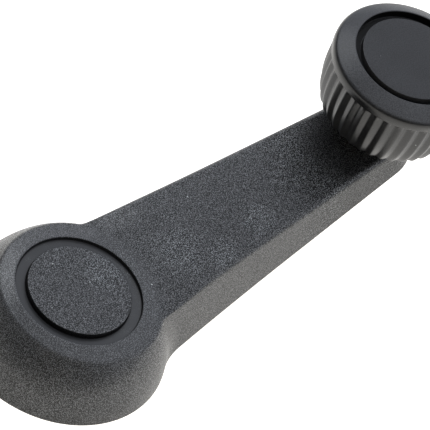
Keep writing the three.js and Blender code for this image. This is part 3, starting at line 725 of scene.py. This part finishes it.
def armRibs():
    # one rib along the arm and others across it, trimmed to the inside of the shell
    start = recess["bossRadius"] - arm["sink"]
    length = crankRadius - start
    tall = 2 * tipTop
    sheets = [slab(length, arm["rib"], tall, start + length / 2, 0, 0)]
    crossings = int((length - spindle["bossRadius"]) // arm["ribPitch"])
    for i in range(crossings):
        x = start + (i + 1) * arm["ribPitch"]
        sheets.append(slab(arm["rib"], 2 * arm["hubRadius"], tall, x, 0, 0))
    trim = tool(loft(insideRings(0.5, arm["ribRecess"])))
    ribs = [tool(sheet) for sheet in sheets]
    for rib in ribs:
        combine(rib, "INTERSECT", [trim])
    return ribs


def hubSpokes():
    radius = arm["hubRadius"]
    trim = tool(loft(insideRings(0.5, arm["spokeFoot"])))
    keep = tool(turned(post(radius - arm["wall"], -past, arm["spokeTop"])))
    spokes = []
    for i in range(arm["spokes"]):
        turn = i * 360 / arm["spokes"]
        spoke = tool(slab(radius, arm["rib"], 2 * arm["hubHeight"], radius / 2, 0, 0, turn))
        combine(spoke, "INTERSECT", [trim, keep])
        spokes.append(spoke)
    return spokes


# the recess for the cap, with the boss for the drive insert under it
recess = {
    "radius": 14, "depth": 1.5, "slot": 0.12, "ringInner": 1.0, "ringOuter": 0.92, "corner": 0.3,
    "lip": 0.15, "cutAbove": 6, "wellRadius": 9.4, "wellDepth": 2.3,
    "bossRadius": 11.2, "bossFoot": 0.8, "bossRound": 0.5, "bossUnderFloor": 1,
    "leadIn": 5.2, "leadChamfer": 0.5, "leadLength": 4.1, "hexFlats": 11.8,
    "clipSlot": 1.8, "clipSlotLength": 26, "clipLeg": 4.75, "clipHeight": 2.9,
}
recessFloor = arm["hubHeight"] - recess["depth"]
# the neck at the tip and what holds the spindle in it
spindle = {"neckHeight": 3.9, "neckRadius": 7.2, "neckEdge": 0.4, "flare": 1.2, "bossRadius": 6.2,
           "bossThickness": 4.3, "shank": 3.0, "rivetSpace": 5.8}
neckTop = tipTop + spindle["neckHeight"]
spindleBossFoot = tipTop - spindle["bossThickness"]


def capRecess():
    # the cap stands in a deeper seat, and the open ring round it rises a little towards the lip
    lip, radius, corner = recess["lip"], recess["radius"], recess["corner"]
    top = arm["hubHeight"]
    seatRadius = hubCapSizes["radius"] + recess["slot"]
    profile = [(0, recessFloor), (seatRadius, recessFloor), (seatRadius, top - recess["ringInner"])]
    profile += arc(radius - corner, top - recess["ringOuter"] + corner, corner, -90, 0)
    profile += arc(radius + lip, top - lip, lip, 180, 90, steps=4)
    profile += [(radius + lip, top + recess["cutAbove"]), (0, top + recess["cutAbove"])]
    return turned(profile, steps=turnSteps["show"])


def hexagonHole(foot, top):
    # turned by half a side, as the hexagon of the drive insert stands
    radius, sides = recess["hexFlats"] * mm / math.sqrt(3), 6
    bm = bmesh.new()
    bmesh.ops.create_cone(bm, cap_ends=True, segments=sides, radius1=radius, radius2=radius,
                          depth=(top - foot) * mm)
    bmesh.ops.rotate(bm, cent=(0, 0, 0), matrix=aboutUpright(180 / sides), verts=bm.verts)
    bmesh.ops.translate(bm, vec=place(0, 0, (foot + top) / 2), verts=bm.verts)
    return bm


def hubCutters():
    # the cap's recess and the well for its legs, then the drive insert's hole and the clip's two slots
    wellFloor = recessFloor - recess["wellDepth"]
    foot, leadIn, chamfer = recess["bossFoot"], recess["leadIn"], recess["leadChamfer"]
    seat = foot + recess["leadLength"]
    lead = [(0, -past), (leadIn + chamfer, -past), (leadIn + chamfer, foot), (leadIn, foot + chamfer),
            (leadIn, seat + past), (0, seat + past)]
    cutters = [
        capRecess(),
        turned(post(recess["wellRadius"], wellFloor, recessFloor + past)),
        turned(lead, steps=turnSteps["hole"]),
        hexagonHole(seat, wellFloor + past),
    ]
    length, slot = recess["clipSlotLength"], recess["clipSlot"]
    for side in (-1, 1):
        cutters.append(slab(length, slot, slot, 0, side * recess["clipLeg"], recess["clipHeight"]))
    return [tool(cutter) for cutter in cutters]


def tipForms():
    shoulder = tipTop - arm["roof"] / 2
    crownTop = tipTop + arm["crown"] / 2
    flare, neck, edge = spindle["flare"], spindle["neckRadius"], spindle["neckEdge"]
    boss = spindle["bossRadius"]
    profile = [(0, spindleBossFoot), (boss, spindleBossFoot), (boss, shoulder), (neck + flare, shoulder),
               (neck + flare, crownTop)]
    profile += arc(neck + flare, crownTop + flare, flare, -90, -180, steps=5)[1:]
    profile += arc(neck - edge, neckTop - edge, edge, 0, 90, steps=3)
    profile.append((0, neckTop))
    return tool(turned(profile, crankRadius))


def tipCutters():
    shank = post(spindle["shank"], 0, neckTop + past)
    rivet = post(spindle["rivetSpace"], 0, spindleBossFoot)
    return [tool(turned(profile, crankRadius, turnSteps["hole"])) for profile in (shank, rivet)]


def hubBoss():
    foot, radius, edge = recess["bossFoot"], recess["bossRadius"], recess["bossRound"]
    top = recessFloor - recess["bossUnderFloor"]
    profile = [(0, foot), (radius - edge, foot)]
    profile += arc(radius - edge, foot + edge, edge, -90, 0, steps=4)[1:]
    profile += [(radius, top), (0, top)]
    return tool(turned(profile))


def crankArm():
    inner = insideRings(1, 0)
    outer = sideRings(0, shoulderTop, 0, arm["shoulderRound"], arm["edge"], 0, arm["outsideSteps"])
    piece = finishMesh(loft(list(reversed(inner)) + outer + topRings(), arm["crown"]), "crankArm")
    combine(piece, "UNION", armRibs() + hubSpokes() + [hubBoss(), tipForms()])
    combine(piece, "DIFFERENCE", hubCutters() + tipCutters())
    return settle(piece)


# Caps: thin discs with a slight dome, held by snap legs that reach down into a well

snap = {"legs": 4, "thick": 0.8, "width": 4, "drop": 2.1, "rooted": 0.5, "gap": 0.35, "domeSteps": 6}
hubCapSizes = {"radius": 11.45, "edge": 0.2, "proud": 0.3, "crown": 0.08, "gap": 0.1}
knobCapSizes = {"radius": 11.25, "edge": 0.15, "sink": 0.3, "crown": 0.06, "gap": 0.1}


def snapCap(name, sizes, foot, top, wellRadius, x=0):
    edge, crown = sizes["edge"], sizes["crown"]
    flat = sizes["radius"] - edge
    profile = [(0, foot), (sizes["radius"], foot)]
    profile += arc(flat, top - edge - crown, edge, 0, 90)
    for i in range(1, snap["domeSteps"] + 1):
        share = 1 - i / snap["domeSteps"]
        profile.append((flat * share, top - crown * share * share))
    piece = finishMesh(turned(profile, x, turnSteps["show"]), name)
    length = snap["drop"] + snap["rooted"]
    out = wellRadius - snap["gap"] - snap["thick"] / 2
    middle = foot + snap["rooted"] - length / 2
    for i in range(snap["legs"]):
        turn = i * 360 / snap["legs"]
        combine(piece, "UNION", [tool(slab(snap["thick"], snap["width"], length, out, 0, middle, turn, x))])
    return settle(piece)


def hubCap():
    top = arm["hubHeight"] + hubCapSizes["proud"]
    return snapCap("hubCap", hubCapSizes, recessFloor + hubCapSizes["gap"], top, recess["wellRadius"])


def knobCap():
    top = knobTop - knobCapSizes["sink"]
    return snapCap("knobCap", knobCapSizes, knobLedge + knobCapSizes["gap"], top, knob["well"], crankRadius)


# Knob

knob = {
    "foot": 27.2, "height": 18, "flangeRadius": 17.2, "flangeSink": 0.25, "flangeStep": (0.1, 0.06),
    "flangeSlope": 25, "band": 1.35, "edge": 1.5, "edgeSteps": 12,
    "ringRadius": 12.95, "ringDepth": 2.2, "ringCorner": 0.3, "lip": 0.2,
    "ribs": 36, "ribDepth": 0.55, "ribTurn": 3.8, "crestRound": 0.993, "stepsPerRib": 12,
    "grooveEnd": 0.2, "grooveEndShare": 0.25,
    "skirtTop": 17, "skirtFoot": 14.65, "skirtHeight": 13.7, "belly": 4.2,
    "outsideSteps": 16, "insideSteps": 8,
    "wall": 1.4, "well": 10.6, "wellWall": 1.9, "deck": 11.4, "deckThickness": 2,
    "tube": 6.9, "bore": 5.38, "boreFoot": 1.7,
    "webs": 4, "web": 1.4, "webFoot": 2.4, "webRadius": 13.6, "sink": 0.4, "sharpAngle": 42,
}
knobTop = knob["foot"] + knob["height"]
skirtTop = knob["foot"] + knob["skirtHeight"]
knobDeck = knob["foot"] + knob["deck"]
knobCeiling = knobDeck - knob["deckThickness"]
knobLedge = knobTop - knob["ringDepth"]


def skirtCurve(inset, steps):
    points = []
    for i in range(steps + 1):
        t = i / steps
        radius = lerp(lerp(knob["skirtFoot"], knob["skirtTop"], t), knob["skirtTop"], t)
        height = lerp(lerp(0, knob["belly"], t), lerp(knob["belly"], knob["skirtHeight"], t), t)
        points.append((radius - inset, knob["foot"] + height))
    return points


def ribbedSkirt():
    # outside from the foot up, and how much of the grooves' depth each point has
    *curve, (radius, height) = skirtCurve(0, knob["outsideSteps"])
    end = knob["grooveEnd"]
    points = curve + [(radius, height - end), (radius, height - end / 3), (radius, height)]
    ribShares = [1.0] * (len(curve) + 1) + [knob["grooveEndShare"], 0.0]
    return points, ribShares


def flangeAndRing():
    # over the flange's cone, then over the lip and down to the ledge of the open ring
    out, up = knob["flangeStep"]
    radius, edge, coneAngle = knob["flangeRadius"], knob["edge"], 90 - knob["flangeSlope"]
    points = [(knob["skirtTop"] + out, skirtTop + up), (radius, skirtTop + knob["flangeSink"])]
    points += arc(radius - edge, skirtTop + knob["band"], edge, 0, coneAngle, knob["edgeSteps"])
    ring, lip, corner = knob["ringRadius"], knob["lip"], knob["ringCorner"]
    points += arc(ring + lip, knobTop - lip, lip, coneAngle, 180, steps=5)
    return points + [(ring, knobLedge + corner), (ring - corner, knobLedge)]


def knobInside():
    # down the well to the deck, down the bore, up the tube and round the hollow to the foot
    boreFoot = knob["foot"] + knob["boreFoot"]
    high = knobDeck + knob["deckThickness"]
    well, bore, tube = knob["well"], knob["bore"], knob["tube"]
    stepRadius = well + knob["wellWall"]
    inset = knob["ribDepth"] + knob["wall"]
    points = [(well, knobLedge), (well, knobDeck), (bore, knobDeck), (bore, boreFoot), (tube, boreFoot),
              (tube, knobCeiling), (stepRadius, knobCeiling), (stepRadius, high),
              (knob["skirtTop"] - inset, high)]
    skirt = [point for point in skirtCurve(inset, knob["insideSteps"]) if point[1] < high]
    return points + list(reversed(skirt))


def grooveShare(ribsRound):
    # 0 on a crest and 1 in a groove, straight flanks with barely rounded ends
    roundness = knob["crestRound"]
    least, most = math.acos(roundness), math.acos(-roundness)
    return (math.acos(roundness * math.cos(2 * math.pi * ribsRound)) - least) / (most - least)


def cutGrooves(bm):
    layer = bm.verts.layers.float["ribShare"]
    for vert in bm.verts:
        share = vert[layer]
        if share > 0:
            x, y = vert.co.x / mm - crankRadius, vert.co.y / mm
            ribsRound = math.atan2(y, x) / (2 * math.pi) * knob["ribs"]
            scale = 1 - knob["ribDepth"] * share * grooveShare(ribsRound) / math.hypot(x, y)
            vert.co.x, vert.co.y = (crankRadius + x * scale) * mm, y * scale * mm
    turn = aboutUpright(knob["ribTurn"])
    bmesh.ops.rotate(bm, cent=place(crankRadius, 0, 0), matrix=turn, verts=bm.verts)


def knobWebs():
    # upright webs from the tube to the skirt, let a little into the tube and the deck
    foot, top = knob["foot"] + knob["webFoot"], knobCeiling + knob["sink"]
    reach = knob["webRadius"] - knob["tube"]
    out = knob["tube"] + reach / 2 - knob["sink"]
    webs = []
    for i in range(knob["webs"]):
        turn = (i + 0.5) * 360 / knob["webs"]
        webs.append(tool(slab(reach, knob["web"], top - foot, out, 0, (foot + top) / 2, turn, crankRadius)))
    return webs


def knobBody():
    skirt, ribShares = ribbedSkirt()
    profile = skirt + flangeAndRing() + knobInside()
    steps = knob["ribs"] * knob["stepsPerRib"]
    bm = turned(profile, crankRadius, steps, closed=True, ribShares=ribShares)
    cutGrooves(bm)
    piece = finishMesh(bm, "knobBody", knob["sharpAngle"])
    combine(piece, "UNION", knobWebs())
    return settle(piece, knob["sharpAngle"])


# Retaining clip: bent spring wire, its legs in the boss's slots

clip = {"wire": 1.4, "thinned": 0.99, "tip": 2.2, "gap": 0.2, "bends": 6, "roundSteps": 6, "lengthSteps": 8}


def retainingClip():
    leg = recess["clipLeg"]
    bendX = -math.sqrt(recess["bossRadius"] ** 2 - leg ** 2) - clip["gap"]
    tipX = -bendX + clip["gap"]
    tipEnd = (tipX + clip["tip"], leg + clip["tip"] / 2)
    route = [tipEnd, (tipX, leg), (0, leg)]
    for i in range(clip["bends"] + 1):
        angle = math.radians(90 + i * 180 / clip["bends"])
        route.append((bendX + leg * math.cos(angle), leg * math.sin(angle)))
    route += [(0, -leg), (tipX, -leg), (tipEnd[0], -tipEnd[1])]
    curve = bpy.data.curves.new("retainingClip", "CURVE")
    curve.dimensions = "3D"
    curve.bevel_depth = clip["wire"] / 2 * mm * clip["thinned"]
    curve.bevel_resolution = clip["roundSteps"]
    curve.resolution_u = clip["lengthSteps"]
    curve.use_fill_caps = True
    spline = curve.splines.new("BEZIER")
    spline.bezier_points.add(len(route) - 1)
    for point, (x, y) in zip(spline.bezier_points, route):
        point.co = place(x, y, recess["clipHeight"])
        point.handle_left_type = point.handle_right_type = "AUTO"
    piece = bpy.data.objects.new("retainingClip", curve)
    bpy.context.scene.collection.objects.link(piece)
    return piece


# Studio: a white table in a room with one brighter side

studio = {
    "table": 4000, "paper": (0.8, 0.79, 0.77, 1), "white": (1, 0.985, 0.95, 1), "whiteStrength": 0.9,
    "room": (0.92, 0.96, 1.05, 1), "light": 1.0, "dim": 0.1,
    "brightSide": (0.72, -0.1, 0.68), "fall": (0.0, 0.78),
}


def floor():
    bm = bmesh.new()
    bmesh.ops.create_grid(bm, x_segments=1, y_segments=1, size=studio["table"] * mm)
    bmesh.ops.translate(bm, vec=(0, 0, rim), verts=bm.verts)
    piece = finishMesh(bm, "floor")
    mix = Recipe("white table")
    seen = mix.node("ShaderNodeLightPath", out="Is Camera Ray")
    for ray in ("Is Glossy Ray", "Is Transmission Ray"):
        seen = mix.most(seen, mix.node("ShaderNodeLightPath", out=ray))
    paper = mix.node("ShaderNodeBsdfDiffuse", {}, {"Color": studio["paper"]})
    glow = {"Color": studio["white"], "Strength": seen * studio["whiteStrength"]}
    lit = mix.node("ShaderNodeAddShader", {}, {0: paper, 1: mix.node("ShaderNodeEmission", {}, glow)})
    # from below the table is clear
    under = mix.node("ShaderNodeNewGeometry", out="Backfacing")
    clear = mix.node("ShaderNodeBsdfTransparent")
    both = mix.node("ShaderNodeMixShader", {}, {0: under, 1: lit, 2: clear})
    mix.node("ShaderNodeOutputMaterial", {}, {"Surface": both})
    piece.data.materials.append(mix.material)


def world():
    made = bpy.data.worlds.new("studio")
    bpy.context.scene.world = made
    made.use_nodes = True
    mix = Recipe("studio", made.node_tree)
    direction = mix.node("ShaderNodeTexCoord", out="Generated")
    toward = mix.vector("DOT_PRODUCT", direction, studio["brightSide"], out="Value")
    strength = mix.ramp(toward, *studio["fall"], studio["dim"], studio["light"])
    room = mix.node("ShaderNodeBackground", {}, {"Color": studio["room"], "Strength": strength})
    mix.node("ShaderNodeOutputWorld", {}, {"Surface": room})


# A cool lamp behind the part on the left, and a warm one in front that shiny faces don't mirror
lamps = {
    "left": {"azimuth": 80, "elevation": 42, "size": 500, "power": 1.5, "shine": True,
             "colour": (0.92, 0.96, 1.0)},
    "front": {"azimuth": -140, "elevation": 26, "size": 700, "power": 5.7, "shine": False,
              "colour": (1.0, 0.88, 0.64)},
}
lampAim = (30, 0, 5)
lampDistance = 900


def lamp(name, about):
    data = bpy.data.lights.new(name, "AREA")
    data.shape = "SQUARE"
    data.size = about["size"] * mm
    data.energy = about["power"]
    data.color = about["colour"]
    piece = bpy.data.objects.new(name, data)
    azimuth, elevation = math.radians(about["azimuth"]), math.radians(about["elevation"])
    level = math.cos(elevation)
    back = Vector((math.cos(azimuth) * level, math.sin(azimuth) * level, math.sin(elevation)))
    piece.location = place(*lampAim) + back * lampDistance * mm
    piece.rotation_mode = "QUATERNION"
    piece.rotation_quaternion = back.to_track_quat("Z", "Y")
    piece.visible_glossy = about["shine"]
    bpy.context.scene.collection.objects.link(piece)


# A long lens, as fitted to the photograph, at a place in metres. The picture's right and up are
# directions of the part.
camera = {"place": (-0.55065, -0.29506, 0.70844), "right": (0.70240, -0.63380, 0.32393),
          "up": (0.36243, 0.71016, 0.60359), "lens": 376.74, "sensor": 36, "clip": (0.05, 20)}


def photoCamera():
    data = bpy.data.cameras.new("camera")
    data.lens = camera["lens"]
    data.sensor_width = camera["sensor"]
    data.clip_start, data.clip_end = camera["clip"]
    piece = bpy.data.objects.new("camera", data)
    right, up = Vector(camera["right"]).normalized(), Vector(camera["up"]).normalized()
    turn = Matrix((right, up, right.cross(up))).transposed().to_4x4()
    piece.matrix_world = Matrix.Translation(camera["place"]) @ turn
    bpy.context.scene.collection.objects.link(piece)
    bpy.context.scene.camera = piece


# Put together

grained, mattBlack, satinBlack = grainedPlastic(), mattPlastic(), satinPlastic()
springSteel = metal("drawn spring steel")
print("materials made")
takePlace(crankArm(), grained, "crank", "crank_arm")
print("crank arm made")
takePlace(hubCap(), grained, "crank", "hub_cap")
print("hub cap made")
takePlace(knobBody(), mattBlack, "knob", "knob_body")
takePlace(knobCap(), satinBlack, "knob", "knob_cap")
print("knob and its cap made")
takePlace(retainingClip(), springSteel, "crank", "retaining_clip")
print("clip made")

# the other pieces keep their CAD shapes
dressed = {
    "drive_insert": metal("cast zinc"),
    "knob_bush": paleNylon(),
    "knob_spindle": metal("plated steel"),
    "back_washer": metal("plated steel washer"),
    "thrust_washer": metal("plated thrust washer"),
    "wave_washer": springSteel,
    "lock_ring": springSteel,
}
for node, material in dressed.items():
    for slot in frame["nodes"][node].material_slots:
        slot.material = material
print("inner pieces dressed")

floor()
world()
for name, about in lamps.items():
    lamp(name, about)
photoCamera()
bpy.context.scene.view_settings.view_transform = "Standard"
print("studio made")
